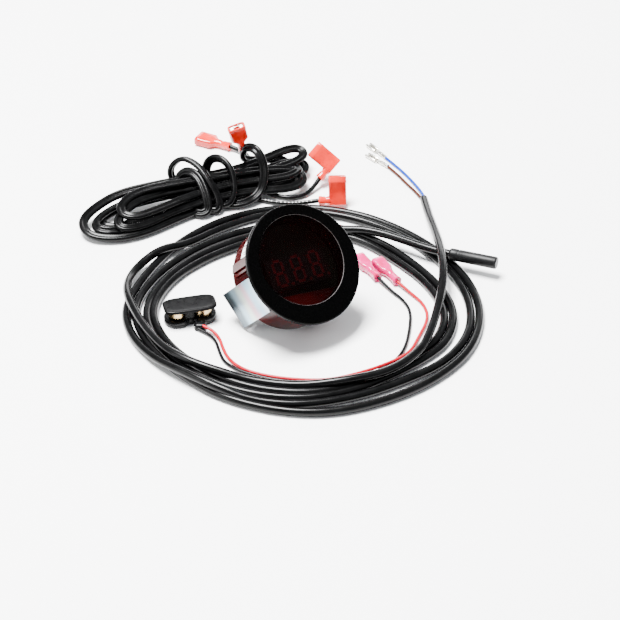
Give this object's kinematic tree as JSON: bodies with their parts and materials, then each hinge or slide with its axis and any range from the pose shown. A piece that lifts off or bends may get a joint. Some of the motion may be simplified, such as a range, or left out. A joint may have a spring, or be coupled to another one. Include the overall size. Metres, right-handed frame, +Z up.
{
  "type": "panel thermometer with leads",
  "caption": "Round digital panel meter with clamp bracket, coiled sensor cable and probe, battery snap lead and a folded twin power cord with push-on terminals.",
  "frame": {"origin": "middle of the meter head's box, without the leads, at the surface that it lies on", "axes": "+Z up from the surface, +Y away from the side that the meter's face is turned to, +X to the right of a person facing it"},
  "size_m": [0.2137, 0.2485, 0.0566],
  "materials": {
    "bezel_black": "polished black, slightly rounded edge",
    "smoked_window": "dark red smoked acrylic, polished",
    "red_case": "dark red translucent moulding",
    "cover_black": "fine moulded texture",
    "zinc_steel": "bright zinc plate with cloudy spangle",
    "plated_screw": "bright plated",
    "tin_brass": "tin plated",
    "label_white": "printed label with plain bars",
    "circuit_board": "green solder mask",
    "chip_black": "moulded package",
    "crystal_can": "pressed can",
    "display_grey": "dark face of the display block",
    "segment_red": "unlit light bars",
    "snap_vinyl": "soft black vinyl",
    "snap_plate": "black fibre plate",
    "wire_red": "vinyl insulation",
    "wire_black": "vinyl insulation",
    "wire_blue": "vinyl insulation",
    "wire_brown": "vinyl insulation",
    "cable_jacket": "round black jacket, satin",
    "probe_black": "black sealed probe",
    "sleeve_pink": "translucent pink insulation",
    "sleeve_red": "translucent red insulation",
    "cord_black": "twin flat cord, satin vinyl"
  },
  "bodies": {
    "head_and_leads": {"bezel": "bezel_black", "window_lens": "smoked_window", "case": "red_case", "back_cover": "cover_black", "cover_screws": "plated_screw", "side_label": "label_white", "stud_1": "plated_screw", "stud_2": "plated_screw", "display_block": "display_grey", "display_segments": "segment_red", "display_board": "circuit_board", "board_header": "chip_black", "main_board": "circuit_board", "controller_chip": "chip_black", "voltage_regulator": "chip_black", "timing_crystal": "crystal_can", "capacitors": "crystal_can", "power_tab_plus": "tin_brass", "power_tab_minus": "tin_brass", "sensor_tab_1": "tin_brass", "sensor_tab_2": "tin_brass", "snap_moulding": "snap_vinyl", "snap_contacts": "crystal_can", "battery_wire_red": "wire_red", "battery_wire_black": "wire_black", "battery_sleeve_red": "sleeve_pink", "battery_sleeve_black": "sleeve_pink", "battery_receptacles": "tin_brass", "sensor_cable_coil": "cable_jacket", "sensor_cable_tail": "cable_jacket", "sensor_cable_probe_run": "cable_jacket", "sensor_probe": "probe_black", "sensor_wire_blue": "wire_blue", "sensor_wire_brown": "wire_brown", "sensor_terminal_blue": "tin_brass", "sensor_terminal_brown": "tin_brass", "power_cord_hank": "cord_black", "power_wire_1": "cord_black", "power_wire_2": "cord_black", "power_wire_3": "cord_black", "power_wire_4": "cord_black", "flag_sleeve_1": "sleeve_red", "flag_sleeve_2": "sleeve_red", "power_sleeve_3": "sleeve_red", "power_sleeve_4": "sleeve_red", "power_receptacles": "tin_brass"},
    "bracket": {"clamp_bracket": "zinc_steel", "bracket_washers": "plated_screw"},
    "nut_1": {"clamp_nut_1": "plated_screw"},
    "nut_2": {"clamp_nut_2": "plated_screw"},
    "snap_lid": {"snap_cover": "snap_plate", "snap_cover_contacts": "crystal_can"}
  },
  "joints": [
    {"name": "bracket_slide", "type": "slide", "parent": "head_and_leads", "child": "bracket", "axis": [0.4384, -0.5427, 0.7164], "range_m": [0, 0.002]},
    {"name": "nut_1_turn", "type": "hinge", "parent": "bracket", "child": "nut_1", "pos_m": [-0.02065, 0.00286, 0.00701], "axis": [0.4384, -0.5427, 0.7164], "continuous": true},
    {"name": "nut_2_turn", "type": "hinge", "parent": "bracket", "child": "nut_2", "pos_m": [-0.00054, 0.0222, 0.00936], "axis": [0.4384, -0.5427, 0.7164], "continuous": true},
    {"name": "snap_lid_lift", "type": "slide", "parent": "head_and_leads", "child": "snap_lid", "axis": [0, 0, 1], "range_m": [0, 0.008]}
  ]
}
